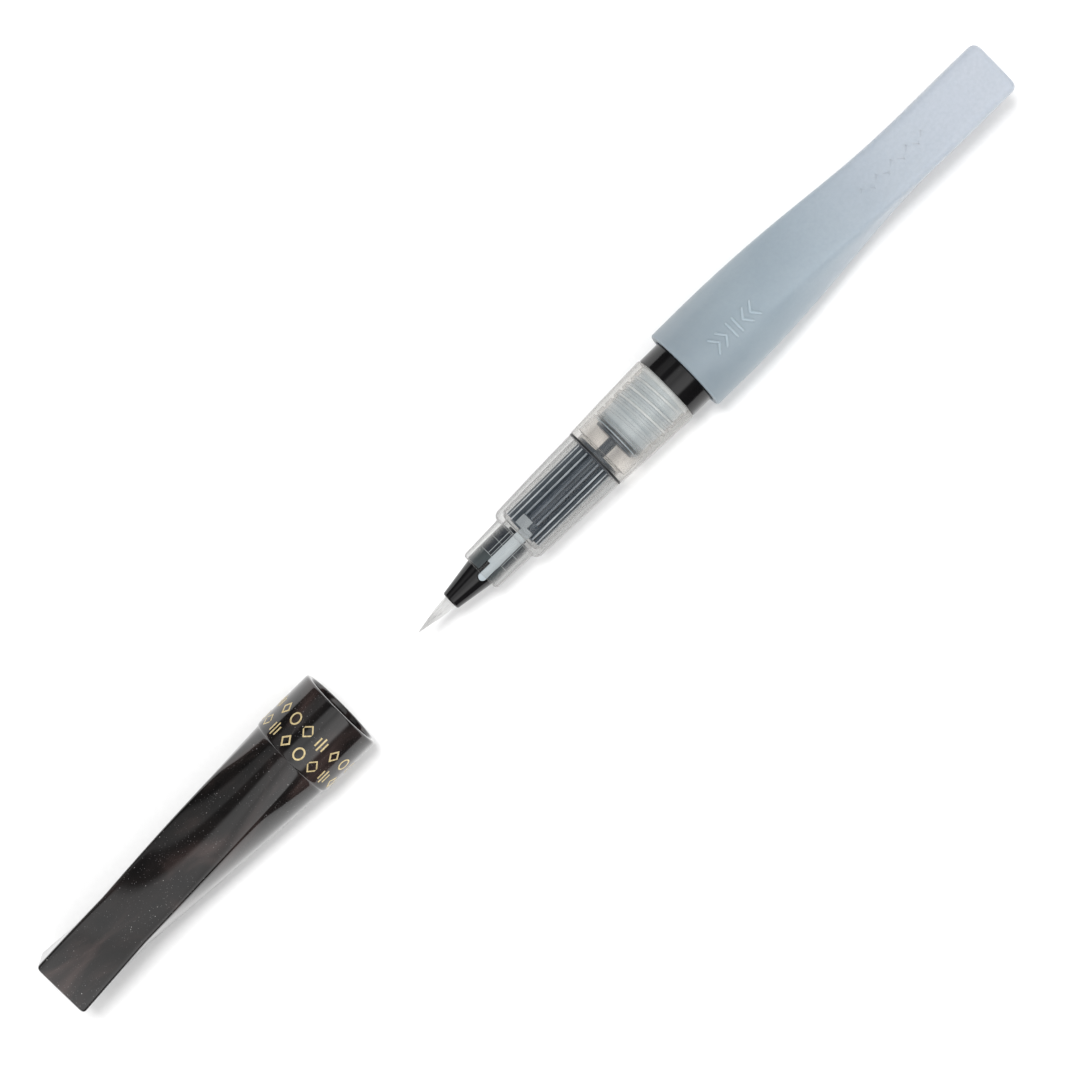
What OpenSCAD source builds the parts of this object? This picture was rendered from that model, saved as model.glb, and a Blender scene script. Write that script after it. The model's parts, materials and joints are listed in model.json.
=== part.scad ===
// Squeeze-barrel brush pen with its cap off.
// The pen and the cap lie on one axis along X, nose towards -X and tail towards +X.
// Stations called p are distances along that axis from the bristle tip, in millimetres.
// Stations called k are distances from a mouth plane towards its closed end.

/* [Barrel] */
// Outer diameter of the barrel and of the cap at their round mouths
body_d = 16.2; // [16:0.1:16.6]
// Length of the barrel from its mouth to the flat tail
barrel_len = 73; // [68:0.2:80]
// Distance from the barrel's axis to each flat at the tail
tail_half = 5.28; // [5.2:0.02:5.8]
// Wall thickness of the squeezable tank
barrel_wall = 1.2; // [0.9:0.1:1.5]
// Angle by which the square section winds round between tail and mouth
barrel_twist = 24; // [0:1:35]
// Radius of the rounded edge round the tail face
tail_edge_r = 1.2; // [0.4:0.1:2]

/* [Cap] */
// Length of the cap from its mouth to the closed end
cap_len = 66.4; // [66:0.2:72]
// Radius of the bore at the cap's mouth
cap_bore_r = 6.85; // [6.8:0.05:6.95]
// Distance from the cap's axis to each flat at the closed end
cap_end_half = 5.45; // [5.3:0.05:6]
// Length of the plain round collar at the cap's mouth
cap_collar = 12; // [10:0.5:14]
// Gap between the cap's mouth and the bristle tip while the cap lies off the pen
cap_gap = 18; // [10:1:60]
// Angle by which the cap's square section winds round
cap_twist = 27.4; // [0:0.2:40]

/* [Nose section] */
// Outer radius of the nose tube at its front
nose_r = 3.95; // [3.85:0.05:3.95]
// Outer radius of the main clear housing at its step
housing_r0 = 5.25; // [5.2:0.05:5.3]
// Outer radius of the clear housing where it meets the threaded sleeve
housing_r1 = 5.85; // [5.75:0.05:5.95]
// Outer radius of the threaded sleeve at its open end
sleeve_r = 6.6; // [6.5:0.05:6.65]
// Number of lengthwise fins on the collector
fin_count = 18; // [12:1:20]
// Thickness of one collector fin
fin_t = 0.34; // [0.3:0.02:0.44]

/* [Thread] */
// Pitch of the single-start thread between neck and sleeve
pitch = 2; // [1.9:0.1:2.2]
// Radius of the crest of the neck's thread
male_crest = 5.3; // [5.25:0.01:5.32]
// Radius of the crest of the sleeve's thread
female_crest = 5.08; // [5.06:0.01:5.12]

/* [Stopper ring] */
// Outer radius of the removable stopper ring
ring_r = 6.45; // [6.2:0.05:6.5]

/* [Hidden] */
$fn = 96;

body_r = body_d / 2;
p_mouth = 63.2;                       // barrel mouth plane
p_tail = p_mouth + barrel_len;        // flat tail
p_cap = -cap_gap;                     // cap mouth plane
p_mid = (p_tail + p_cap - cap_len) / 2;
p_ferrule = 7.8;                      // front edge of the ferrule
p_nose = 14.8;                        // front edge of the clear nose tube
p_step = 23.0;                        // step from the nose tube to the housing
p_joint = 41.85;                      // rear face of the housing
p_sleeve = 42.25;                     // front face of the threaded sleeve
p_open = 58.9;                        // open rear end of the threaded sleeve
p_rim = 46.95;                        // rim of the barrel's neck
p_shoulder = 63.8;                    // floor of the recess that seats the stopper ring
collar = 8;                           // plain round length at the barrel's mouth
neck_r = 5.3;                         // plain neck under the stopper ring
neck_root = 4.9;                      // thread root on the neck
neck_bore = 4.2;
nose_bore = 3.2;                      // bore of the nose tube
key_flat = 2.6;                       // flat underside of the vent key, from the axis
sleeve_bore = 5.48;                   // thread root in the sleeve
key_phi = 12;                         // vent key's place round the axis, from straight up

// ---------- helpers ----------
// Puts local +Z along the pen's axis: local -X becomes up.
module along() translate([-p_mid, 0, body_r]) rotate([0, 90, 0]) children();
// Turned solid from [radius, station] points.
module lathe(pts) rotate_extrude() polygon(pts);
// Turns about the axis so that local -X points to angle a from straight up, towards -Y.
module round_to(a) rotate([0, 0, a]) children();

function clamp01(x) = min(1, max(0, x));
function smooth(x) = let (t = clamp01(x)) t * t * (3 - 2 * t);
// Radius of a section that goes from a circle (e = 0) to a rounded square (e = 1).
function sec_r(f, a, e, n) = a * pow(pow(abs(cos(f)), n) + pow(abs(sin(f)), n), -e / n);
// The points crowd towards the four corners, and turn with the section.
function ring_pts(z, a, e, th, n, m) =
    [for (i = [0:m - 1]) let (u = 360 * i / m, f = u + 8 * sin(4 * u), r = sec_r(f, a, e, n), g = f + th) [-r * cos(g), -r * sin(g), z]];

// Solid skin over rings of equal count, first ring at the lower station.
module skin(rings) {
    m = len(rings[0]);
    n = len(rings);
    pts = [for (r = rings) each r];
    faces = concat(
        [[for (i = [0:m - 1]) i]],
        [[for (i = [m - 1:-1:0]) (n - 1) * m + i]],
        [for (j = [0:n - 2]) for (i = [0:m - 1]) [j * m + i, (j + 1) * m + i, j * m + (i + 1) % m]],
        [for (j = [0:n - 2]) for (i = [0:m - 1]) [j * m + (i + 1) % m, (j + 1) * m + i, (j + 1) * m + (i + 1) % m]]);
    polyhedron(points = pts, faces = faces, convexity = 6);
}

// Helical ridge of a right-hand thread: four [radius, offset along the axis] profile points.
module helix_ridge(prof, z0, turns, per_turn, phase) {
    steps = ceil(turns * per_turn);
    rings = [for (s = [0:steps])
        let (t = s / per_turn, a = 360 * t + phase,
             grow = min(1, min(s, steps - s) / 4 + 0.12))
        [for (q = prof)
            let (r = prof[0][0] + (q[0] - prof[0][0]) * grow)
            [r * cos(a), r * sin(a), z0 + pitch * t + q[1]]]];
    skin(rings);
}

// ---------- cap ----------
function cap_t(k) = clamp01((k - cap_collar) / (cap_len - cap_collar));
cap_a0 = body_r - 0.12;
function cap_a(k) = let (c = cap_len - k)
    c > 16 ? cap_end_half + (cap_a0 - 0.15 - cap_end_half) * pow((c - 16) / (cap_len - cap_collar - 16), 1.08)
           : cap_end_half + 0.12 * pow((16 - c) / 16, 2);
function cap_e(k) = 1 - pow(1 - cap_t(k), 1.9);
function cap_th(k) = 7.4 - cap_twist * (1 - pow(cap_t(k), 1.45));
cap_edge = 0.8;
cap_ks = concat([cap_collar - 0.6, cap_collar + 0.1], [for (i = [1:19]) cap_collar + 0.1 + i * (cap_len - cap_edge - cap_collar - 0.1) / 19],
                [for (d = [25, 45, 65, 80, 90]) cap_len - cap_edge + cap_edge * sin(d)]);
function round_in(k, end, r) = r * (1 - sqrt(max(0, 1 - pow(max(0, k - end + r) / r, 2))));
function cap_in(k) = cap_a(max(k, cap_collar)) - 0.9 * round_in(k, cap_len, cap_edge);

module cap_shell() color([0.09, 0.08, 0.08]) along() translate([0, 0, p_cap]) mirror([0, 0, 1])
    difference() {
        union() {
            lathe([[0, 0.05], [body_r - 0.45, 0], [body_r - 0.12, 0.12], [body_r, 0.45], [body_r, cap_collar - 0.5], [body_r - 0.12, cap_collar - 0.15], [body_r - 0.3, cap_collar], [0, cap_collar]]);
            mirror([0, 0, 1]) skin([for (i = [len(cap_ks) - 1:-1:0]) let (k = cap_ks[i])
                ring_pts(-k, cap_in(k), cap_e(k), cap_th(k), 20, 48)]);
        }
        lathe([[0, -1], [cap_bore_r + 0.3, -1], [cap_bore_r + 0.3, 0.02], [cap_bore_r, 0.32], [cap_bore_r, 12], [6.5, 22], [5.85, 33], [5.55, 38], [5.5, 40.3], [5.05, 40.8],
               [5.0, 42], [4.4, 64.6], [3.9, 65.0], [0, 65.0]]);
    }

// Inner cup that closes round the nose tube when the cap is on.
module inner_cap() color([0.80, 0.82, 0.84]) along() translate([0, 0, p_cap]) mirror([0, 0, 1])
    lathe([[4.7, 40.9], [4.97, 40.9], [4.95, 42], [4.36, 64.4], [3.9, 64.9], [0, 64.9],
           [0, 64.1], [3.3, 64.1], [3.3, 50.6], [4.12, 49.6], [4.55, 41.4]]);

// ---------- brush ----------
module bristle_tuft() color([0.93, 0.93, 0.92]) along()
    lathe([[0, 0], [0.12, 0.35], [0.38, 1.7], [0.69, 3.4], [0.94, 5.0], [1.14, 6.7], [1.18, 7.8], [1.18, 12.85], [0.6, 12.85], [0.6, 9.6], [0, 9.2]]);

module tuft_root_plug() color([0.88, 0.88, 0.86]) along()
    lathe([[0.6, 12.9], [1.6, 12.9], [1.6, 14.6], [0.6, 14.6]]);

module relay_core() color([0.86, 0.85, 0.80]) along()
    lathe([[0, 9.8], [0.3, 9.8], [0.55, 10.6], [0.55, 24.3], [0, 24.3]]);

// Slot for the vent key, w wide, from radius r0 outwards.
module key_slot(p0, p1, r0, w) round_to(key_phi) translate([-6, -w / 2, p0]) cube([6 - r0, w, p1 - p0]);

module ferrule() color([0.05, 0.05, 0.055]) along() difference() {
    lathe([[1.22, p_ferrule], [1.6, p_ferrule], [1.78, p_ferrule + 0.2], [2.86, 14.98], [2.4, 14.98], [2.4, 17.9],
           [1.65, 17.9], [1.65, 12.85], [1.22, 12.85]]);
    round_to(key_phi) translate([-1.9, -0.275, 14.6]) rotate([0, -90, 0]) cylinder(r = 0.86, h = 3);
    round_to(key_phi) translate([-5, -1.135, 14.6]) cube([3.1, 1.72, 1]);
}

module front_bush() color([0.42, 0.47, 0.47]) along() difference() {
    lathe([[2.46, 15.02], [3.02, 15.02], [3.13, 15.15], [3.13, 18.05], [2.46, 18.05]]);
    key_slot(14.5, 19, 1.5, 2.3);
}

module tip_holder() color([0.28, 0.31, 0.34]) along() difference() {
    lathe([[0.62, 18.12], [3.07, 18.12], [3.13, 18.2], [3.13, 20.55], [2.97, 20.6],
           [2.97, 20.8], [3.13, 20.85], [3.13, 23.4], [1.9, 23.4], [1.9, 23.9], [0.62, 23.9]]);
    key_slot(17, 24, key_flat - 0.05, 2.3);
}

// Light bar under the clear nose tube that keys the brush and lets air past it. A rounded tongue
// at its front overlaps the ferrule, and a hook at its rear catches in the collector.
module vent_key() color([0.74, 0.78, 0.80]) along() intersection() {
    lathe([[1.0, 13.3], [2.94, 13.3], [3.13, 14.9], [3.15, 15.0], [3.15, 24.2], [3.8, 24.95], [3.8, 27], [1.0, 27]]);
    round_to(key_phi) union() {
        translate([-6, -1.05, 17.1]) cube([6 - key_flat, 2.1, 8.5]);
        translate([-6, 0.45, 24.95]) cube([6 - key_flat, 2.0, 2.05]);
        translate([-6, -1.0, 14.9]) cube([6 - key_flat, 1.45, 2.4]);
        translate([-6, -1.0, 14.6]) cube([4.05, 1.45, 0.3]);
        translate([-1.95, -0.275, 14.6]) rotate([0, -90, 0]) cylinder(r = 0.725, h = 4);
    }
}

// ---------- clear housings ----------
module nose_housing() color([0.86, 0.88, 0.88, 0.35]) along()
    lathe([[nose_bore, p_nose], [nose_r - 0.42, p_nose], [nose_r - 0.15, p_nose + 0.2], [nose_r, p_nose + 0.7], [4.2, p_step - 0.2], [4.3, p_step - 0.05],
           [housing_r0 - 0.8, p_step + 0.05], [housing_r0 - 0.3, p_step + 0.4], [housing_r0, p_step + 0.9],
           [housing_r1, p_joint], [4.85, p_joint], [4.6, 24.9], [3.9, 24.2], [nose_bore, 24.0]]);

module collector() color([0.30, 0.35, 0.39]) along() difference() {
    union() {
        lathe([[0.98, 24.6], [2.7, 24.6], [2.7, 41.7], [4.1, 41.7], [4.35, 41.9], [4.35, 42.7], [4.1, 43.0], [0.95, 43.0], [0.95, 46.35], [3.95, 46.35], [4.1, 46.5], [4.1, 46.8], [0.6, 46.8], [0.6, 43.0], [0.98, 42.8]]);
        for (i = [0:fin_count - 1]) rotate([0, 0, 360 * i / fin_count - 3.3])
            translate([2.5, -fin_t / 2, 24.9]) cube([1.4, fin_t, 16.9]);
    }
    round_to(key_phi) translate([-6, -1.2, 24]) cube([6 - key_flat + 0.05, 3.85, 3.15]);
}

module feed_rod() color([0.82, 0.82, 0.78]) along()
    lathe([[0, 24.4], [0.7, 24.4], [0.9, 24.65], [0.9, 42.75], [0.55, 43.0], [0.55, 46.7], [0, 46.7]]);

module joint_gasket() color([0.10, 0.11, 0.13]) along()
    lathe([[4.4, 41.9], [5.93, 41.9], [5.93, 42.2], [4.4, 42.2]]);

module threaded_sleeve() color([0.84, 0.87, 0.88, 0.35]) along() union() {
    lathe([[4.55, p_sleeve], [5.98, p_sleeve], [6.35, 50], [sleeve_r, p_open - 0.4], [sleeve_r - 0.15, p_open - 0.05], [sleeve_r - 0.4, p_open],
           [sleeve_bore + 0.25, p_open], [sleeve_bore, p_open - 0.25], [sleeve_bore, 43.7], [4.55, 43.4]]);
    helix_ridge([[sleeve_bore + 0.22, 0.42], [sleeve_bore + 0.22, -0.42], [female_crest, -0.14], [female_crest, 0.14]],
                47.1, 4.6, 20, 198);
}

// ---------- seal, ring and barrel ----------
module seal_plug() color([0.86, 0.88, 0.90]) along()
    lathe([[0, 47.0], [4.05, 47.0], [4.14, 47.06], [4.14, 47.2], [3.2, 47.2], [3.2, 47.6], [4.14, 47.6], [4.14, 47.85], [3.9, 48.0], [3.9, 50.5], [4.14, 50.6], [4.14, 51.1], [3.5, 51.1], [3.4, 48.1], [0, 47.9]]);

module plug_gasket() color([0.05, 0.05, 0.06]) along()
    lathe([[3.22, 47.22], [4.16, 47.22], [4.16, 47.58], [3.22, 47.58]]);

module stopper_ring() color([0.06, 0.06, 0.065]) along()
    lathe([[5.4, 58.98], [ring_r - 0.12, 58.98], [ring_r, 59.1], [ring_r, 63.6], [ring_r - 0.12, 63.72], [5.4, 63.72]]);

function bar_s(k) = smooth((k - 6.5) / 43);
function bar_a(k) = body_r - (body_r - tail_half) * bar_s(k);
function bar_e(k) = pow(bar_s(k), 0.8);
function bar_th(k) = 1.5 - barrel_twist * (1 - smooth((k - 14) / 46));
function bar_in(k) = k < collar + 0.05 ? body_r - 0.05 : bar_a(k) - 0.9 * round_in(k, barrel_len, tail_edge_r);
bar_ks = concat([collar - 0.6, collar + 0.6], [for (i = [1:20]) collar + 0.6 + i * (barrel_len - tail_edge_r - collar - 0.6) / 20],
                [for (d = [25, 45, 65, 80, 90]) barrel_len - tail_edge_r + tail_edge_r * sin(d)]);
hol_ks = concat([3.4, 5, 7.5, collar + 1], [for (i = [1:11]) collar + 1 + i * (barrel_len - collar - 4) / 11], [barrel_len - 1.9]);
// Ring of the tank's hollow, set in from the outer surface by w.
function hol_ring(k, w) = ring_pts(p_mouth + k, (k < 4 ? body_r - w - 1.4 : k > barrel_len - 2.5 ? bar_a(k) - w - 1.2 : bar_a(k) - w), bar_e(k), bar_th(k), 8, 32);

module barrel() color([0.66, 0.71, 0.75]) along() difference() {
    union() {
        lathe([[4.3, p_rim], [4.62, p_rim], [4.75, p_rim + 0.15], [4.75, 50.9], [neck_root, 51.1], [neck_root, 58.0], [neck_r, 58.3],
               [neck_r, p_shoulder], [ring_r + 0.3, p_shoulder], [ring_r + 0.3, p_mouth + 0.15], [ring_r + 0.45, p_mouth], [body_r - 0.45, p_mouth], [body_r - 0.12, p_mouth + 0.12],
               [body_r, p_mouth + 0.45], [body_r, p_mouth + collar], [3, p_mouth + collar], [3, 60], [4.0, 50], [4.0, 47.25]]);
        skin([for (k = bar_ks) ring_pts(p_mouth + k, bar_in(k), bar_e(k), bar_th(k), 8, 48)]);
        helix_ridge([[neck_root - 0.22, -0.42], [neck_root - 0.22, 0.42], [male_crest, 0.14], [male_crest, -0.14]],
                    51.6, 2.9, 20, 108);
    }
    lathe([[0, p_rim - 1], [neck_bore + 0.15, p_rim - 1], [neck_bore + 0.15, p_rim + 0.1], [neck_bore, p_rim + 0.25], [neck_bore, p_mouth + 4.5], [0, p_mouth + 4.5]]);
    skin([for (k = hol_ks) hol_ring(k, barrel_wall)]);
}

// Liquid that fills the tank and the rear of the neck.
module ink_charge() color([0.45, 0.52, 0.60]) along() union() {
    translate([0, 0, 55.8]) cylinder(r = 4.1, h = p_mouth + 5 - 55.8);
    skin([for (k = hol_ks) hol_ring(k + (k < 4 ? 0.25 : k > barrel_len - 2.5 ? -0.2 : 0), barrel_wall + 0.15)]);
}

cap_shell();
inner_cap();
bristle_tuft();
tuft_root_plug();
relay_core();
ferrule();
front_bush();
tip_holder();
vent_key();
nose_housing();
collector();
feed_rod();
joint_gasket();
threaded_sleeve();
seal_plug();
plug_gasket();
stopper_ring();
barrel();
ink_charge();
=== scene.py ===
import json
import math

import bmesh
import bpy
import numpy as np
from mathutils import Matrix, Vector

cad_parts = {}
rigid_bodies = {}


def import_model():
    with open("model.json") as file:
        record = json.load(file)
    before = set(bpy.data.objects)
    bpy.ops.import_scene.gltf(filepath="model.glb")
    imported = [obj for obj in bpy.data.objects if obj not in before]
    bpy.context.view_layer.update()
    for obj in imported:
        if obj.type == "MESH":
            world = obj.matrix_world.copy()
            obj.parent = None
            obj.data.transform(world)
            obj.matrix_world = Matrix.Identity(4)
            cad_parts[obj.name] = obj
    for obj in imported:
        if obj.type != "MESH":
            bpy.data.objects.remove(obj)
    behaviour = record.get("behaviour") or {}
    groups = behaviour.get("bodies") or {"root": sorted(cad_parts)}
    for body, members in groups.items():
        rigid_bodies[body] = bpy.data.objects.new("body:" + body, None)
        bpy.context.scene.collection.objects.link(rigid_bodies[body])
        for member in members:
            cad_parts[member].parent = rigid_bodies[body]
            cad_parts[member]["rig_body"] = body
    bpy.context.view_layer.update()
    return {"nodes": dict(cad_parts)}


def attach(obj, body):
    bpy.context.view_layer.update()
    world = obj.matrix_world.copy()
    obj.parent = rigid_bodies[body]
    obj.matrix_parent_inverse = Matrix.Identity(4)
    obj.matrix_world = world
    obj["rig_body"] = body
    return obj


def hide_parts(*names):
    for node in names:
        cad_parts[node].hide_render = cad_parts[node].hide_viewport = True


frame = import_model()

# ------------------------------------------------------------------ frame
MM = 0.001
P_MID = 25.9          # station, in mm from the bristle tip, of the row's origin
AXIS_Z = 8.1          # the pen's axis above the floor, in mm
P_MOUTH, P_TAIL = 63.2, 136.2
P_CAP, CAP_LEN = -18.0, 66.4


def clamp01(x):
    return min(1.0, max(0.0, x))


def smooth(x):
    t = clamp01(x)
    return t * t * (3 - 2 * t)


def pt(r, f, p):
    """A point at radius r, angle f in degrees from straight up towards -Y, station p, in metres."""
    a = math.radians(f)
    return ((p - P_MID) * MM, -r * math.sin(a) * MM, (AXIS_Z + r * math.cos(a)) * MM)


# ------------------------------------------------------------------ mesh helpers
def new_object(name, verts, faces, sharp=32.0, mat=None):
    me = bpy.data.meshes.new(name)
    me.from_pydata([tuple(map(float, v)) for v in verts], [], faces)
    me.validate()
    me.update()
    ob = bpy.data.objects.new(name, me)
    bpy.context.scene.collection.objects.link(ob)
    bm = bmesh.new()
    bm.from_mesh(me)
    bmesh.ops.remove_doubles(bm, verts=bm.verts, dist=1e-7)
    bmesh.ops.recalc_face_normals(bm, faces=bm.faces)
    bm.to_mesh(me)
    bm.free()
    me.polygons.foreach_set("use_smooth", [True] * len(me.polygons))
    me.set_sharp_from_angle(angle=math.radians(sharp))
    if mat is not None:
        me.materials.append(mat)
    return ob


def rings_mesh(name, rings, closed=False, cap_start=True, cap_end=True, sharp=32.0, mat=None):
    """A skin over rings of equal count. closed joins the last ring to the first, as on a tube's wall."""
    m = len(rings[0])
    n = len(rings)
    verts = [v for r in rings for v in r]
    faces = []
    span = n if closed else n - 1
    for j in range(span):
        a, b = j * m, ((j + 1) % n) * m
        for i in range(m):
            k = (i + 1) % m
            faces.append((a + i, a + k, b + k, b + i))
    if not closed:
        for start, flag in ((0, cap_start), ((n - 1) * m, cap_end)):
            if not flag:
                continue
            c = len(verts)
            ring = np.array(verts[start:start + m])
            verts.append(tuple(ring.mean(0)))
            for i in range(m):
                faces.append((start + i, start + (i + 1) % m, c))
    return new_object(name, verts, faces, sharp, mat)


def fillet(points, radius, steps=4):
    """Rounds the corners of a closed profile. points are (r, p) or (r, p, own radius)."""
    out = []
    n = len(points)
    for i in range(n):
        a, b, c = (np.array(points[(i + d) % n][:2], float) for d in (-1, 0, 1))
        rad = points[i][2] if len(points[i]) > 2 else radius
        u, v = a - b, c - b
        lu, lv = np.linalg.norm(u), np.linalg.norm(v)
        if rad <= 0 or lu < 1e-9 or lv < 1e-9:
            out.append(tuple(b))
            continue
        u, v = u / lu, v / lv
        ang = math.acos(max(-1.0, min(1.0, float(u @ v))))
        if ang > math.radians(174) or ang < math.radians(2):
            out.append(tuple(b))
            continue
        d = min(rad / math.tan(ang / 2), lu * 0.48, lv * 0.48)
        rr = d * math.tan(ang / 2)
        start, end = b + u * d, b + v * d
        mid = (u + v) / np.linalg.norm(u + v)
        centre = b + mid * (rr / math.sin(ang / 2))
        t0 = math.atan2(*(start - centre)[::-1])
        t1 = math.atan2(*(end - centre)[::-1])
        dt = (t1 - t0 + math.pi) % (2 * math.pi) - math.pi
        for s in range(steps + 1):
            t = t0 + dt * s / steps
            out.append(tuple(centre + rr * np.array([math.cos(t), math.sin(t)])))
    return out


def lathe(name, profile, seg=128, radius=0.12, steps=4, sharp=30.0, mat=None, split=1.2):
    """A turned solid from a closed (r, p) profile. Long steps are split, so bakes and bends stay even."""
    prof = fillet(profile, radius, steps)
    fine = []
    for i, a in enumerate(prof):
        b = prof[(i + 1) % len(prof)]
        k = max(1, int(math.hypot(b[0] - a[0], b[1] - a[1]) / split))
        for s in range(k):
            fine.append((a[0] + (b[0] - a[0]) * s / k, a[1] + (b[1] - a[1]) * s / k))
    rings = [[pt(r, 360.0 * i / seg, p) for i in range(seg)] for r, p in fine]
    return rings_mesh(name, rings, closed=True, sharp=sharp, mat=mat)


def tube(verts, faces, path, radii, sides=6, flat=1.0, up=None):
    """Adds a round tube along path to verts and faces, closed at both ends."""
    path = [np.array(p, float) for p in path]
    base = len(verts)
    n = len(path)
    for j, p in enumerate(path):
        t = path[min(j + 1, n - 1)] - path[max(j - 1, 0)]
        t = t / max(np.linalg.norm(t), 1e-12)
        ref = np.array([0.0, 0.0, 1.0]) if up is None else np.array(up[j], float)
        if abs(float(ref @ t)) > 0.95:
            ref = np.array([0.0, 1.0, 0.0])
        s = np.cross(t, ref)
        s /= np.linalg.norm(s)
        w = np.cross(s, t)
        for i in range(sides):
            a = 2 * math.pi * i / sides
            verts.append(tuple(p + radii[j] * (math.cos(a) * s + flat * math.sin(a) * w)))
    for j in range(n - 1):
        for i in range(sides):
            k = (i + 1) % sides
            faces.append((base + j * sides + i, base + j * sides + k, base + (j + 1) * sides + k, base + (j + 1) * sides + i))
    for j, rev in ((0, True), (n - 1, False)):
        ring = [base + j * sides + i for i in range(sides)]
        faces.append(tuple(reversed(ring)) if rev else tuple(ring))


# ------------------------------------------------------------------ node helpers
class Mat:
    def __init__(self, name):
        self.m = bpy.data.materials.new(name)
        self.m.use_nodes = True
        self.nt = self.m.node_tree
        self.nt.nodes.clear()
        self.out = self.nt.nodes.new("ShaderNodeOutputMaterial")
        self.coord = None

    def node(self, kind, **values):
        n = self.nt.nodes.new(kind)
        for k, v in values.items():
            if k.startswith("_"):
                setattr(n, k[1:], v)
        for k, v in values.items():
            if k.startswith("_"):
                continue
            socket = n.inputs[k.replace("__", " ")] if not k.startswith("i") or not k[1:].isdigit() else n.inputs[int(k[1:])]
            if isinstance(v, bpy.types.NodeSocket):
                self.nt.links.new(v, socket)
            else:
                socket.default_value = v
        return n

    def obj(self):
        if self.coord is None:
            self.coord = self.nt.nodes.new("ShaderNodeTexCoord")
        return self.coord.outputs["Object"]

    def mapping(self, scale=(1, 1, 1), loc=(0, 0, 0)):
        n = self.node("ShaderNodeMapping", Vector=self.obj())
        n.inputs["Scale"].default_value = scale
        n.inputs["Location"].default_value = loc
        return n.outputs[0]

    def noise(self, scale, detail=3.0, rough=0.55, vec=None, distortion=0.0):
        n = self.node("ShaderNodeTexNoise", Vector=vec or self.obj(), Scale=scale, Detail=detail, Roughness=rough, Distortion=distortion)
        return n.outputs["Fac"]

    def ramp(self, fac, stops, mode="LINEAR"):
        n = self.node("ShaderNodeValToRGB", Fac=fac)
        cr = n.color_ramp
        cr.interpolation = mode
        while len(cr.elements) < len(stops):
            cr.elements.new(0.5)
        for e, (pos, col) in zip(cr.elements, stops):
            e.position = pos
            e.color = (*col, 1.0) if len(col) == 3 else col
        return n.outputs["Color"]

    def maprange(self, value, a, b, c, d, smoothstep=False):
        n = self.node("ShaderNodeMapRange", Value=value)
        n.inputs["From Min"].default_value = a
        n.inputs["From Max"].default_value = b
        n.inputs["To Min"].default_value = c
        n.inputs["To Max"].default_value = d
        if smoothstep:
            n.interpolation_type = "SMOOTHSTEP"
        return n.outputs["Result"]

    def math(self, op, a, b=None):
        n = self.nt.nodes.new("ShaderNodeMath")
        n.operation = op
        for i, v in enumerate((a, b)):
            if v is None:
                continue
            if isinstance(v, bpy.types.NodeSocket):
                self.nt.links.new(v, n.inputs[i])
            else:
                n.inputs[i].default_value = v
        return n.outputs[0]

    def mix(self, fac, a, b, kind="MIX"):
        n = self.nt.nodes.new("ShaderNodeMix")
        n.data_type = "RGBA"
        n.blend_type = kind
        for socket, v in ((n.inputs[0], fac), (n.inputs[6], a), (n.inputs[7], b)):
            if isinstance(v, bpy.types.NodeSocket):
                self.nt.links.new(v, socket)
            elif isinstance(v, (int, float)):
                socket.default_value = v
            else:
                socket.default_value = (*v, 1.0)
        return n.outputs[2]

    def bump(self, height, strength=0.2, distance=0.0001, normal=None):
        n = self.node("ShaderNodeBump", Height=height, Strength=strength, Distance=distance)
        if normal is not None:
            self.nt.links.new(normal, n.inputs["Normal"])
        return n.outputs["Normal"]

    def xyz(self):
        n = self.node("ShaderNodeSeparateXYZ", Vector=self.obj())
        return n.outputs

    def principled(self, color, rough, normal=None, **extra):
        p = self.nt.nodes.new("ShaderNodeBsdfPrincipled")
        for name, v in (("Base Color", color), ("Roughness", rough)):
            if isinstance(v, bpy.types.NodeSocket):
                self.nt.links.new(v, p.inputs[name])
            elif isinstance(v, (int, float)):
                p.inputs[name].default_value = v
            else:
                p.inputs[name].default_value = (*v, 1.0)
        if normal is not None:
            self.nt.links.new(normal, p.inputs["Normal"])
        for k, v in extra.items():
            socket = p.inputs[k.replace("_", " ")]
            if isinstance(v, bpy.types.NodeSocket):
                self.nt.links.new(v, socket)
            elif isinstance(v, tuple) and len(v) == 3 and len(socket.default_value) == 4:
                socket.default_value = (*v, 1.0)
            else:
                socket.default_value = v
        return p.outputs[0]

    def done(self, surface):
        self.nt.links.new(surface, self.out.inputs["Surface"])
        return self.m


def mix_shader(m, fac, a, b):
    n = m.nt.nodes.new("ShaderNodeMixShader")
    if isinstance(fac, bpy.types.NodeSocket):
        m.nt.links.new(fac, n.inputs[0])
    else:
        n.inputs[0].default_value = fac
    m.nt.links.new(a, n.inputs[1])
    m.nt.links.new(b, n.inputs[2])
    return n.outputs[0]


# ------------------------------------------------------------------ materials
def mat_plastic(name, dark, light, rough, scale=900.0, bump=0.06, coat=0.0, streak=None, ior=1.5):
    """Moulded plastic: a colour that drifts a little, fine surface grain and uneven polish."""
    m = Mat(name)
    drift = m.noise(140.0, 3.0)
    col = m.ramp(drift, [(0.32, dark), (0.70, light)])
    if streak is not None:
        lines = m.noise(1.0, 2.0, vec=m.mapping(scale=(60.0, 1800.0, 1800.0)))
        col = m.mix(m.maprange(lines, 0.45, 0.75, 0.0, streak[1]), col, streak[0])
    grain = m.noise(scale, 4.0, 0.6)
    wear = m.noise(420.0, 4.0)
    r = m.maprange(wear, 0.3, 0.7, rough * 0.8, rough * 1.25)
    n = m.bump(grain, bump, 0.00005)
    return m.done(m.principled(col, r, n, IOR=ior, Coat_Weight=coat, Coat_Roughness=0.06))


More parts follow.
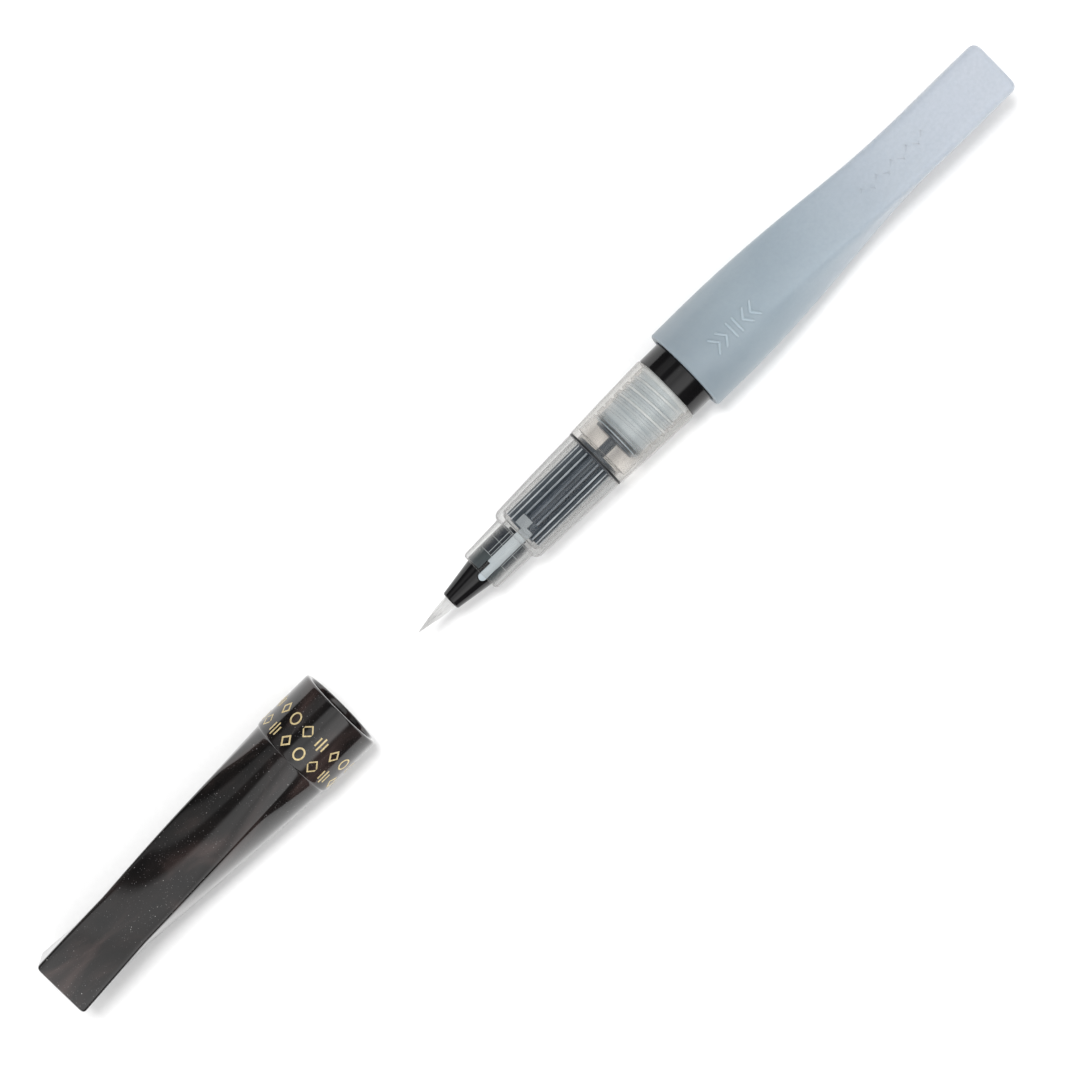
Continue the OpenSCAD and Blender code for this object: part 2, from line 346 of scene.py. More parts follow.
def mat_clear(name, tint=(0.958, 0.957, 0.953), body=(0.385, 0.385, 0.38), haze=0.008, edge=1.35, power=2.6, rough=0.06, lines=0.22):
    """Clear moulded plastic: see-through face on, greyer where the wall is seen along its depth."""
    m = Mat(name)
    lw = m.node("ShaderNodeLayerWeight", Blend=0.5)
    facing = m.math("POWER", lw.outputs["Facing"], power)
    flow = m.noise(1.0, 2.0, vec=m.mapping(scale=(60.0, 1500.0, 1500.0)))
    draw = m.maprange(flow, 0.30, 0.70, 1.0 - lines, 1.0 + lines)
    specks = m.noise(2600.0, 2.0)
    haze_f = m.maprange(m.noise(260.0, 3.0), 0.35, 0.75, haze * 0.5, haze * 1.8)
    fac = m.math("MINIMUM", m.math("ADD", m.math("MULTIPLY", m.math("MULTIPLY", facing, edge), draw), haze_f), 0.97)
    tcol = m.mix(m.maprange(flow, 0.3, 0.7, 0.0, 0.8), tint, tuple(min(1.0, c * 1.03) for c in tint))
    clear = m.node("ShaderNodeBsdfTransparent", Color=tcol).outputs[0]
    n = m.bump(m.noise(700.0, 3.0), 0.05, 0.00005)
    grey = m.mix(m.maprange(specks, 0.5, 0.8, 0.0, 0.35), body, tuple(min(1.0, c * 1.2) for c in body))
    solid = m.node("ShaderNodeBsdfDiffuse", Color=grey, Roughness=0.2, Normal=n).outputs[0]
    base = mix_shader(m, fac, clear, solid)
    gloss = m.node("ShaderNodeBsdfGlossy", Roughness=rough, Normal=n)
    gloss.inputs["Color"].default_value = (1, 1, 1, 1)
    shine = m.math("ADD", m.math("MULTIPLY", m.math("POWER", lw.outputs["Facing"], 4.0), 0.30), 0.009)
    return m.done(mix_shader(m, shine, base, gloss.outputs[0]))


def mat_cap():
    """Black gloss moulding with a slow brown swirl along it and fine silver glitter under the gloss."""
    m = Mat("cap_black_glitter")
    swirl = m.noise(1.0, 4.0, 0.55, vec=m.mapping(scale=(55.0, 150.0, 150.0), loc=(0.4, 0.1, 0.0)), distortion=1.3)
    col = m.ramp(swirl, [(0.36, (0.0030, 0.0026, 0.0026)), (0.50, (0.0070, 0.0055, 0.0052)), (0.60, (0.019, 0.0130, 0.0120)), (0.72, (0.036, 0.024, 0.022))])
    flakes = m.node("ShaderNodeTexVoronoi", Vector=m.obj(), Scale=2900.0, Randomness=1.0)
    sep = m.node("ShaderNodeSeparateColor", Color=flakes.outputs["Color"])
    pick = m.maprange(sep.outputs[0], 0.955, 0.985, 0.0, 0.75)
    dot = m.maprange(flakes.outputs["Distance"], 0.12, 0.30, 1.0, 0.0)
    small = m.node("ShaderNodeTexVoronoi", Vector=m.obj(), Scale=6200.0, Randomness=1.0)
    sep2 = m.node("ShaderNodeSeparateColor", Color=small.outputs["Color"])
    pick2 = m.maprange(sep2.outputs[1], 0.92, 0.965, 0.0, 0.34)
    dot2 = m.maprange(small.outputs["Distance"], 0.20, 0.42, 1.0, 0.0)
    patch = m.maprange(m.noise(170.0, 3.0), 0.38, 0.62, 0.10, 1.0)
    glit = m.math("MULTIPLY", patch, m.math("MINIMUM", m.math("ADD", m.math("MULTIPLY", pick, dot), m.math("MULTIPLY", pick2, dot2)), 1.0))
    tone = m.ramp(sep.outputs[2], [(0.2, (0.34, 0.33, 0.35)), (0.8, (0.55, 0.52, 0.50))])
    col = m.mix(glit, col, tone)
    rough = m.maprange(m.noise(330.0, 4.0), 0.3, 0.7, 0.08, 0.16)
    n = m.bump(m.noise(300.0, 3.0), 0.05, 0.00012)
    return m.done(m.principled(col, rough, n, IOR=1.5, Coat_Weight=0.55, Coat_Roughness=0.05))


def mat_gold():
    m = Mat("gold_print")
    fleck = m.noise(2600.0, 4.0)
    col = m.ramp(fleck, [(0.30, (0.40, 0.31, 0.145)), (0.60, (0.60, 0.49, 0.27)), (0.85, (0.74, 0.66, 0.44))])
    rough = m.maprange(m.noise(1500.0, 3.0), 0.3, 0.7, 0.26, 0.48)
    n = m.bump(fleck, 0.15, 0.00002)
    return m.done(m.principled(col, rough, n, Metallic=0.22))


def mat_barrel(name="barrel_frosted", gain=1.0):
    """Frosted squeezable wall: bluish grey where it is thick and full, paler towards the tail."""
    m = Mat(name)
    x = m.xyz()["X"]
    along = m.maprange(x, 0.037, 0.1105, 0.0, 1.0)
    stops = [(0.0, (0.203, 0.245, 0.276)), (0.18, (0.234, 0.287, 0.324)), (0.42, (0.286, 0.338, 0.382)),
             (0.62, (0.352, 0.392, 0.440)), (0.82, (0.405, 0.440, 0.492)), (1.0, (0.428, 0.460, 0.512))]
    base = m.ramp(along, [(t, tuple(min(1.0, c * gain) for c in rgb)) for t, rgb in stops])
    cloud = m.noise(95.0, 4.0, 0.55)
    base = m.mix(m.maprange(cloud, 0.35, 0.70, 0.0, 0.14), base, (0.44, 0.48, 0.51))
    mottle = m.noise(1500.0, 3.0)
    base = m.mix(m.maprange(mottle, 0.35, 0.75, 0.0, 0.18), base, (0.20, 0.24, 0.28))
    frost = m.noise(5200.0, 3.0, 0.7)
    wave = m.noise(240.0, 3.0)
    n = m.bump(wave, 0.12, 0.00012)
    n = m.bump(frost, 0.10, 0.00002, n)
    rough = m.maprange(m.noise(380.0, 4.0), 0.3, 0.7, 0.34, 0.46)
    return m.done(m.principled(base, rough, n, IOR=1.48, Subsurface_Weight=0.35, Subsurface_Radius=(0.0012, 0.0014, 0.0016), Subsurface_Scale=1.0, Coat_Weight=0.06, Coat_Roughness=0.25))


def mat_neck():
    """Pale bluish neck wall, half see-through, with the moulding's cloudiness and a painted highlight on the thread
    crests and shoulder.
    """
    m = Mat("neck_translucent")
    x = m.xyz()["X"]
    along = m.maprange(x, 0.0210, 0.0335, 0.0, 1.0)
    flow = m.noise(260.0, 4.0)
    body = m.ramp(m.math("ADD", m.math("MULTIPLY", along, 0.55), m.math("MULTIPLY", flow, 0.45)),
                  [(0.15, (0.36, 0.41, 0.45)), (0.55, (0.47, 0.53, 0.565)), (0.95, (0.50, 0.555, 0.585))])
    _, y, z = m.xyz()[:3]
    up = m.math("SUBTRACT", z, AXIS_Z * MM)
    rad = m.math("SQRT", m.math("ADD", m.math("MULTIPLY", y, y), m.math("MULTIPLY", up, up)))
    # painted highlight: from 4.93 mm radius out, the thread crests and the shoulder are mixed towards pale blue-grey
    body = m.mix(m.maprange(rad, 4.93 * MM, 5.22 * MM, 0.0, 0.75), body, (0.66, 0.70, 0.72))
    ring = m.maprange(m.noise(1.0, 2.0, vec=m.mapping(scale=(900.0, 40.0, 40.0))), 0.44, 0.60, 0.0, 0.5)
    body = m.mix(ring, body, (0.31, 0.36, 0.40))
    fac = m.maprange(along, 0.075, 0.17, 0.10, 0.92, True)
    clear = m.node("ShaderNodeBsdfTransparent").outputs[0]
    clear.node.inputs["Color"].default_value = (0.90, 0.93, 0.95, 1)
    n = m.bump(m.noise(800.0, 3.0), 0.08, 0.00004)
    solid = m.principled(body, 0.22, n, IOR=1.48, Coat_Weight=0.3, Coat_Roughness=0.1)
    return m.done(mix_shader(m, fac, clear, solid))


def mat_bristle():
    m = Mat("nylon_fibre")
    x = m.xyz()["X"]
    strand = m.noise(1.0, 3.0, vec=m.mapping(scale=(120.0, 9000.0, 9000.0)))
    col = m.ramp(strand, [(0.28, (0.74, 0.74, 0.73)), (0.5, (0.84, 0.84, 0.83)), (0.72, (0.92, 0.92, 0.91))])
    tip = m.maprange(x, -0.0259, -0.0175, 0.30, 0.0)
    col = m.mix(tip, col, (0.78, 0.775, 0.765))
    n = m.bump(m.noise(6000.0, 2.0), 0.1, 0.00002)
    rough = m.maprange(strand, 0.3, 0.7, 0.26, 0.42)
    return m.done(m.principled(col, rough, n, IOR=1.53, Subsurface_Weight=0.5, Subsurface_Radius=(0.0008, 0.0008, 0.0008), Subsurface_Scale=1.0, Sheen_Weight=0.15))


def mat_feed():
    """Slate grey feed body, drawn lengthwise, with a painted highlight on the fins' crests where they reach the clear
    wall.
    """
    m = Mat("feed_slate")
    drift = m.noise(140.0, 3.0)
    col = m.ramp(drift, [(0.32, (0.044, 0.057, 0.074)), (0.70, (0.070, 0.088, 0.112))])
    lines = m.noise(1.0, 3.0, 0.65, vec=m.mapping(scale=(45.0, 3400.0, 3400.0)))
    col = m.mix(m.maprange(lines, 0.44, 0.72, 0.0, 0.55), col, (0.115, 0.140, 0.160))
    x, y, z = m.xyz()[:3]
    up = m.math("SUBTRACT", z, AXIS_Z * MM)
    rad = m.math("SQRT", m.math("ADD", m.math("MULTIPLY", y, y), m.math("MULTIPLY", up, up)))
    # painted highlight: the fins' crests turn pale towards the sides, stay faint at the top and bottom middle, and only
    # inside the housing
    crest_highlight = m.maprange(rad, 3.865 * MM, 3.885 * MM, 0.0, 1.0)
    side = m.maprange(m.math("ABSOLUTE", y), 0.9 * MM, 2.0 * MM, 0.10, 0.92)
    inside = m.math("LESS_THAN", x, (41.6 - P_MID) * MM)
    wander = m.maprange(m.noise(1.0, 2.0, vec=m.mapping(scale=(160.0, 900.0, 900.0))), 0.35, 0.65, 0.45, 1.0)
    fac = m.math("MULTIPLY", m.math("MULTIPLY", crest_highlight, side), m.math("MULTIPLY", inside, wander))
    col = m.mix(fac, col, (0.50, 0.54, 0.57))
    rough = m.maprange(m.noise(420.0, 4.0), 0.3, 0.7, 0.24, 0.36)
    n = m.bump(lines, 0.14, 0.00004)
    return m.done(m.principled(col, rough, n, IOR=1.5))


def mat_key():
    """Milky translucent bar under the clear nose, paler than what lies below it."""
    m = Mat("vent_key_milky")
    x = m.xyz()["X"]
    along = m.maprange(x, -0.0120, 0.0012, 0.0, 1.0)
    col = m.ramp(along, [(0.0, (0.37, 0.42, 0.45)), (0.35, (0.40, 0.44, 0.465)), (0.76, (0.40, 0.435, 0.455)), (0.84, (0.33, 0.36, 0.38)), (1.0, (0.38, 0.41, 0.43))])
    cloud = m.noise(420.0, 4.0)
    col = m.mix(m.maprange(cloud, 0.35, 0.7, 0.0, 0.22), col, (0.60, 0.64, 0.66))
    fac = m.maprange(along, 0.74, 0.86, 0.93, 0.60)
    clear = m.node("ShaderNodeBsdfTransparent").outputs[0]
    clear.node.inputs["Color"].default_value = (0.94, 0.95, 0.96, 1)
    n = m.bump(m.noise(1200.0, 3.0), 0.08, 0.00004)
    return m.done(mix_shader(m, fac, clear, m.principled(col, 0.24, n, IOR=1.48, Coat_Weight=0.3, Coat_Roughness=0.08)))


def mat_floor():
    m = Mat("paper_floor")
    fibre = m.noise(900.0, 5.0, 0.6)
    col = m.ramp(fibre, [(0.3, (0.88, 0.88, 0.88)), (0.7, (0.905, 0.905, 0.905))])
    return m.done(m.principled(col, 0.9, m.bump(fibre, 0.02, 0.00003), Specular_IOR_Level=0.1))


M_CAP = mat_cap()
M_GOLD = mat_gold()
M_BARREL = mat_barrel()
# painted light: the press mark gets the barrel's material made 1.3 times brighter, a lit copy of it
M_MARK_LIT = mat_barrel("barrel_mark_frosted", 1.30)
M_NECK = mat_neck()
M_BRISTLE = mat_bristle()
M_KEY = mat_key()
M_CLEAR = mat_clear("clear_housing")
M_SLEEVE = mat_clear("clear_sleeve", tint=(0.935, 0.926, 0.912), body=(0.44, 0.435, 0.425), haze=0.025, edge=0.95)
M_SLEEVE_IN = mat_clear("clear_sleeve_bore", tint=(0.965, 0.955, 0.945), body=(0.52, 0.515, 0.505), haze=0.012, edge=0.42, power=1.6)
# painted highlight: pale lines laid on edges where light catches them
M_HIGHLIGHT_LINE = mat_plastic("painted_highlight_line", (0.34, 0.38, 0.39), (0.50, 0.53, 0.54), 0.25)
# painted shade: near-black lines laid in gaps where shade falls
M_SHADE_LINE = mat_plastic("painted_shade_line", (0.012, 0.014, 0.016), (0.022, 0.025, 0.028), 0.4)
M_FERRULE = mat_plastic("ferrule_gloss", (0.0040, 0.0038, 0.0042), (0.0060, 0.0056, 0.0062), 0.10, bump=0.04)
M_RING = mat_plastic("stopper_ring_gloss", (0.0030, 0.0030, 0.0033), (0.0040, 0.0038, 0.0043), 0.12, bump=0.10)
M_BUSH = mat_plastic("front_bush_grey", (0.036, 0.046, 0.050), (0.062, 0.076, 0.082), 0.30)
M_HOLDER = mat_plastic("tip_holder_grey", (0.014, 0.018, 0.024), (0.026, 0.034, 0.044), 0.32)
M_FEED = mat_feed()
M_WICK = mat_plastic("wick_fibre", (0.60, 0.59, 0.55), (0.74, 0.73, 0.69), 0.7, scale=3000.0, bump=0.3)
M_RESIN = mat_plastic("root_resin", (0.62, 0.61, 0.58), (0.72, 0.71, 0.68), 0.3)
M_SEAL = mat_plastic("seal_rubber", (0.006, 0.0065, 0.008), (0.014, 0.015, 0.018), 0.5, scale=2400.0, bump=0.15)
M_PLUG = mat_plastic("plug_milky", (0.56, 0.60, 0.64), (0.78, 0.81, 0.84), 0.3)
M_CUP = mat_plastic("inner_cup_milky", (0.46, 0.47, 0.48), (0.58, 0.59, 0.60), 0.35)
M_INK = mat_plastic("ink_liquid", (0.22, 0.28, 0.34), (0.30, 0.37, 0.43), 0.1)


# ------------------------------------------------------------------ squared sections
def sec_r(f, a, e, n):
    c, s = abs(math.cos(math.radians(f))), abs(math.sin(math.radians(f)))
    return a * (c ** n + s ** n) ** (-e / n)


def section(p, a, e, th, n, m, warp=8.0):
    out = []
    for i in range(m):
        u = 360.0 * i / m
        f = u + warp * math.sin(math.radians(4 * u))
        out.append(pt(sec_r(f, a, e, n), f + th, p))
    return out


def round_in(k, end, r):
    d = max(0.0, k - end + r) / r
    return r * (1 - math.sqrt(max(0.0, 1 - d * d)))


# cap: k runs from the mouth to the closed end
CAP_R, CAP_COLLAR, CAP_HALF, CAP_TWIST, CAP_EDGE = 8.1, 12.0, 5.45, 27.4, 0.8
CAP_A0 = CAP_R - 0.12


def cap_t(k):
    return clamp01((k - CAP_COLLAR) / (CAP_LEN - CAP_COLLAR))


def cap_a(k):
    c = CAP_LEN - k
    if c > 16:
        return CAP_HALF + (CAP_A0 - 0.15 - CAP_HALF) * ((c - 16) / (CAP_LEN - CAP_COLLAR - 16)) ** 1.08
    return CAP_HALF + 0.12 * ((16 - c) / 16) ** 2


def cap_e(k):
    return 1 - (1 - cap_t(k)) ** 1.9


def cap_th(k):
    return 7.4 - CAP_TWIST * (1 - cap_t(k) ** 1.45)


def build_cap():
    m = 240
    rings = []

    def circle(r, k):
        # the same angles as the squared rings, so that the skin's lines run straight through
        th = cap_th(max(k, CAP_COLLAR))
        row = []
        for i in range(m):
            u = 360.0 * i / m
            f = u + 8.0 * math.sin(math.radians(4 * u)) + th
            row.append(pt(r, f, P_CAP - k))
        rings.append(row)

    # the bore, from its floor to the mouth
    for r, k in [(0.02, 65.0), (3.5, 65.0), (3.9, 64.98), (4.2, 64.85), (4.4, 64.6), (4.5, 61.0), (4.62, 56.5), (4.75, 51.0), (4.87, 46.5), (5.0, 42.0), (5.05, 40.9), (5.12, 40.82),
                 (5.45, 40.4), (5.5, 40.2), (5.55, 38), (5.85, 33), (6.1, 28.5), (6.5, 22), (6.68, 17), (6.85, 12), (6.85, 6), (6.85, 1.2), (6.86, 0.6), (6.92, 0.3), (7.05, 0.1), (7.2, 0.02)]:
        circle(r, k)
    # the rim and the round collar
    for r, k in [(7.4, 0.0), (7.6, 0.0), (7.75, 0.03), (7.9, 0.1), (8.01, 0.22), (8.07, 0.36), (8.095, 0.52), (8.1, 0.7), (8.1, 3.5), (8.1, 6.5), (8.1, 9.2),
                 (8.1, CAP_COLLAR - 0.62), (8.09, CAP_COLLAR - 0.46), (8.06, CAP_COLLAR - 0.32), (8.01, CAP_COLLAR - 0.2), (7.95, CAP_COLLAR - 0.1), (7.88, CAP_COLLAR - 0.03)]:
        circle(r, k)
    # the squared, winding body
    ks = [CAP_COLLAR + 0.02 + i * (CAP_LEN - CAP_EDGE - CAP_COLLAR - 0.02) / 110 for i in range(111)]
    ks += [CAP_LEN - CAP_EDGE + CAP_EDGE * math.sin(math.radians(d)) for d in (10, 20, 30, 40, 50, 60, 70, 78, 85, 90)]
    for k in ks:
        a = cap_a(k) - 0.9 * round_in(k, CAP_LEN, CAP_EDGE)
        rings.append(section(P_CAP - k, a, cap_e(k), cap_th(k), 22, m))
    last = rings[-1]
    centre = np.array(last).mean(0)
    for s in (0.97, 0.85, 0.6, 0.3):
        rings.append([tuple(centre + (np.array(v) - centre) * s) for v in last])
    ob = rings_mesh("cap_shell_body", rings, sharp=50, mat=M_CAP)
    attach(ob, "cap")
    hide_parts("cap_shell")
    return ob


def print_patch(verts, faces, outline, k0, f0, height=0.018):
    """A thin raised patch of print on the cap's collar. outline is in mm: along the axis, round the collar."""
    r0, r1 = CAP_R - 0.03, CAP_R + height
    base = len(verts)
    n = len(outline)
    deg = 180.0 / (math.pi * CAP_R)
    for r in (r0, r1):
        for u, v in outline:
            verts.append(pt(r, f0 + v * deg, P_CAP - k0 + u))
    for i in range(n):
        k = (i + 1) % n
        faces.append((base + i, base + k, base + n + k, base + n + i))
    faces.append(tuple(base + n + i for i in range(n)))
    faces.append(tuple(base + i for i in reversed(range(n))))


def ring_patch(verts, faces, outer, inner, k0, f0):
    """Print between two outlines of equal count."""
    n = len(outer)
    for i in range(n):
        k = (i + 1) % n
        print_patch(verts, faces, [outer[i], outer[k], inner[k], inner[i]], k0, f0)


def build_gold():
    """Two rows of plain geometric ornament round the collar: rings, lozenges, bars and wedges."""
    verts, faces = [], []
    step = 16
    for row, k0, shift in ((0, 9.75, 0.15), (1, 6.05, 0.65)):
        for j in range(step):
            f0 = 360.0 * (j + shift) / step
            kind = (j * 3 + row * 2) % 4
            if kind == 0:
                o = [(1.2 * math.cos(2 * math.pi * i / 32), 1.0 * math.sin(2 * math.pi * i / 32)) for i in range(32)]
                q = [(0.9 * math.cos(2 * math.pi * i / 32), 0.7 * math.sin(2 * math.pi * i / 32)) for i in range(32)]
                ring_patch(verts, faces, o, q, k0, f0)
            elif kind == 1:
                o, q = [], []
                for a, b in (((1.3, 0), (0, 1.0)), ((0, 1.0), (-1.3, 0)), ((-1.3, 0), (0, -1.0)), ((0, -1.0), (1.3, 0))):
                    for s in range(5):
                        t = s / 5
                        x, y = a[0] + (b[0] - a[0]) * t, a[1] + (b[1] - a[1]) * t
                        o.append((x, y))
                        q.append((x * 0.64, y * 0.64))
                ring_patch(verts, faces, o, q, k0, f0)
            elif kind == 2:
                for off in (-0.72, 0.0, 0.72):
                    h = 1.3 if off == 0.0 else 0.9
                    w = 0.14
                    bar = [(-h, off - w), (0.0, off - w), (h, off - w), (h, off + w), (0.0, off + w), (-h, off + w)]
                    print_patch(verts, faces, bar, k0, f0)
            else:
                for sx in (-1, 1):
                    for t0, t1 in ((-1.0, 0.0), (0.0, 1.0)):
                        w = 0.17
                        x0, x1 = sx * (0.15 + 1.0 * (1 - abs(t0))), sx * (0.15 + 1.0 * (1 - abs(t1)))
                        v0, v1 = 0.95 * t0, 0.95 * t1
                        print_patch(verts, faces, [(x0 - w, v0), (x1 - w, v1), (x1 + w, v1), (x0 + w, v0)], k0, f0)
    ob = new_object("cap_gold_marks", verts, faces, sharp=30, mat=M_GOLD)
    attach(ob, "cap")
    return ob


# barrel: k runs from the mouth to the tail
BAR_R, BAR_LEN, BAR_HALF, BAR_TWIST, BAR_EDGE = 8.1, 73.0, 5.28, 24.0, 1.2


def bar_s(k):
    return smooth((k - 6.5) / 43)


def bar_a(k):
    return BAR_R - (BAR_R - BAR_HALF) * bar_s(k)


def bar_e(k):
    return bar_s(k) ** 0.8


def bar_th(k):
    return 1.5 - BAR_TWIST * (1 - smooth((k - 14) / 46))


def bar_point(k, g, lift=0.0):
    """A point on the barrel's outside at angle g from straight up, lifted by lift mm."""
    th = bar_th(k)
    a = bar_a(k) - 0.9 * round_in(k, BAR_LEN, BAR_EDGE)
    return pt(sec_r(g - th, a, bar_e(k), 8) + lift, g, P_MOUTH + k)


def build_barrel():
    m = 208
    rings = []

    def circle(r, p):
        th = bar_th(0)
        row = []
        for i in range(m):
            u = 360.0 * i / m
            f = u + 8.0 * math.sin(math.radians(4 * u)) + th
            row.append(pt(r, f, p))
        rings.append(row)

    # the recess that seats the stopper ring, the mouth face and the lip
    for r, p in [(5.05, 60.4), (5.05, 63.8), (5.6, 63.8), (6.3, 63.8), (6.68, 63.79), (6.74, 63.74), (6.75, 63.66), (6.75, 63.42), (6.77, 63.3), (6.84, 63.22), (6.95, 63.2), (7.3, 63.2),
                 (7.6, 63.2), (7.75, 63.215), (7.88, 63.26), (7.98, 63.34), (8.05, 63.45), (8.09, 63.6), (8.1, 63.78), (8.1, 65.0), (8.1, 67.0), (8.1, 69.0)]:
        circle(r, p)
    ks = [7.0 + i * (BAR_LEN - BAR_EDGE - 7.0) / 132 for i in range(133)]
    ks += [BAR_LEN - BAR_EDGE + BAR_EDGE * math.sin(math.radians(d)) for d in (8, 16, 24, 32, 40, 48, 56, 64, 72, 80, 86, 90)]
    for k in ks:
        a = bar_a(k) - 0.9 * round_in(k, BAR_LEN, BAR_EDGE)
        rings.append(section(P_MOUTH + k, a, bar_e(k), bar_th(k), 8, m))
    last = rings[-1]
    centre = np.array(last).mean(0)
    for s in (0.96, 0.8, 0.5, 0.2):
        rings.append([tuple(centre + (np.array(v) - centre) * s) for v in last])
    ob = rings_mesh("barrel_body", rings, sharp=50, mat=M_BARREL)
    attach(ob, "barrel")
    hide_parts("barrel")
    return ob


PITCH = 2.0


def ridge(x, half_base, half_crest, height):
    """Height of a thread ridge at a distance x from its middle, with softened flanks."""
    d = abs(x)
    if d <= half_crest:
        return height
    if d >= half_base:
        return 0.0
    t = (half_base - d) / (half_base - half_crest)
    return height * t * t * (3 - 2 * t)


def build_neck():
    """The neck with its male thread, drawn as one wall from the bore's floor to the shoulder."""
    m = 180
    rings = []

    def circle(r, p):
        rings.append([pt(r, 360.0 * i / m, p) for i in range(m)])

    for r, p in [(4.2, 63.6), (4.2, 60.0), (4.2, 56.0), (4.2, 51.5), (4.2, 47.4), (4.22, 47.2), (4.3, 47.05), (4.38, 46.97), (4.5, 46.95), (4.62, 46.98), (4.71, 47.06), (4.75, 47.2)]:
        circle(r, p)
    p = 47.5
    while p < 58.45:
        row = []
        for i in range(m):
            f = 360.0 * i / m
            r = 4.75 + 0.15 * smooth((p - 50.9) / 0.25)
            r += 0.4 * smooth((p - 57.9) / 0.4)
            # the ridge's middle runs with the angle: the CAD helix starts at 51.6 with local angle 108
            z = (p - 51.6) / PITCH * 360.0 + 108.0
            # nearest turn of the ridge at this angle
            turn = round((z - f) / 360.0)
            t_here = (turn * 360.0 + f - 108.0) / 360.0
            if -0.02 <= t_here <= 2.92:
                grow = smooth(min(t_here, 2.9 - t_here) / 0.2 + 0.1)
                centre_p = 51.6 + PITCH * t_here
                r = max(r, 4.9 + ridge(p - centre_p, 0.34, 0.14, 0.40) * grow) if r < 5.25 else r
            row.append(pt(min(r, 5.3), f, p))
        rings.append(row)
        p += 0.1
    for r, p in [(5.3, 58.6), (5.3, 60.0), (5.3, 62.5), (5.3, 63.78), (5.2, 63.8), (4.4, 63.8)]:
        circle(r, p)
    ob = rings_mesh("barrel_neck", rings, closed=True, sharp=38, mat=M_NECK)
    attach(ob, "barrel")
    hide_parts("barrel")
    return ob


def build_press_mark():
    """A plain raised press sign on the barrel: chevrons that point at two upright bars."""
    verts, faces = [], []
    k_mid, g_mid = 10.5, 5.4
    radius = 8.0

    def on(u, v):
        k = k_mid + u
        g = g_mid + math.degrees(v / radius)
        return bar_point(k, g, -0.02), bar_point(k, g, 1.0)

    def stroke(points, w=0.28):
        dense = []
        for a, b in zip(points, points[1:]):
            n = max(1, int(math.hypot(b[0] - a[0], b[1] - a[1]) / 0.2))
            dense += [(a[0] + (b[0] - a[0]) * s / n, a[1] + (b[1] - a[1]) * s / n) for s in range(n)]
        dense.append(points[-1])
        path, up = [], []
        for u, v in dense:
            a, b = on(u, v)
            path.append(a)
            d = np.array(b) - np.array(a)
            up.append(d / np.linalg.norm(d))
        n = len(path)
        radii = [w * MM * (0.55 + 0.45 * min(1.0, min(j, n - 1 - j) / 2.0)) for j in range(n)]
        tube(verts, faces, path, radii, sides=12, flat=0.85, up=up)

    for sx in (-1, 1):
        stroke([(sx * 4.9, -1.6), (sx * 3.6, 0.0), (sx * 4.9, 1.6)])
        stroke([(sx * 3.2, -1.6), (sx * 1.9, 0.0), (sx * 3.2, 1.6)])
        stroke([(sx * 0.65, -1.6), (sx * 0.65, 1.6)])
    ob = new_object("barrel_press_mark", verts, faces, sharp=60, mat=M_MARK_LIT)
    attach(ob, "barrel")
    verts, faces = [], []
    for j in range(9):
        path, up, radii = [], [], []
        for i in range(15):
            t = i / 14
            k = 41.2 + 1.75 * j + 1.5 * t + 0.35 * math.sin(2 * math.pi * t)
            v = 0.95 * math.sin(math.pi * t) * (1 if j % 2 else -1) - 0.15
            g = math.degrees(v / 6.0)
            lo, hi = np.array(bar_point(k, g, -0.015)), np.array(bar_point(k, g, 1.0))
            path.append(tuple(lo))
            up.append((hi - lo) / np.linalg.norm(hi - lo))
            radii.append(0.065 * MM * (0.4 + 0.6 * math.sin(math.pi * min(1.0, 0.12 + 0.88 * t))))
        tube(verts, faces, path, radii, sides=8, flat=0.5, up=up)
    ob = new_object("barrel_flourish", verts, faces, sharp=60, mat=M_BARREL)
    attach(ob, "barrel")
    return ob


def build_sleeve():
    m = 180
    rings = []

    def circle(r, p):
        rings.append([pt(r, 360.0 * i / m, p) for i in range(m)])

    # outside, front to back
    for r, p in [(4.55, 42.28), (4.62, 42.25), (5.3, 42.25), (5.85, 42.25), (5.94, 42.28), (5.99, 42.36), (6.02, 42.6), (6.08, 44.0), (6.15, 46.0), (6.24, 48.0), (6.33, 50.0), (6.39, 52.0),
                 (6.45, 54.0), (6.52, 56.0), (6.58, 58.0), (6.6, 58.5), (6.57, 58.7), (6.48, 58.84), (6.35, 58.9), (6.0, 58.9), (5.76, 58.88), (5.62, 58.78), (5.5, 58.6)]:
        circle(r, p)
    # the threaded bore, back to front
    p = 58.2
    while p > 43.75:
        row = []
        for i in range(m):
            f = 360.0 * i / m
            z = (p - 47.1) / PITCH * 360.0 + 198.0
            turn = round((z - f) / 360.0)
            t_here = (turn * 360.0 + f - 198.0) / 360.0
            r = 5.48
            if -0.02 <= t_here <= 4.62:
                grow = smooth(min(t_here, 4.6 - t_here) / 0.2 + 0.1)
                r -= ridge(p - (47.1 + PITCH * t_here), 0.40, 0.14, 0.40) * grow
            row.append(pt(r, f, p))
        rings.append(row)
        p -= 0.1
    for r, p in [(5.44, 43.66), (5.36, 43.6), (4.9, 43.5), (4.6, 43.42), (4.55, 43.3), (4.55, 42.8)]:
        circle(r, p)
    ob = rings_mesh("sleeve_clear", rings, closed=True, sharp=38, mat=M_SLEEVE)
    ob.data.materials.append(M_SLEEVE_IN)
    for poly in ob.data.polygons:
        c = poly.center
        if math.hypot(c[1], c[2] - AXIS_Z * MM) < 5.53 * MM and (43.7 - P_MID) * MM < c[0] < (58.4 - P_MID) * MM:
            poly.material_index = 1
    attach(ob, "section")
    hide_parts("threaded_sleeve")
    return ob


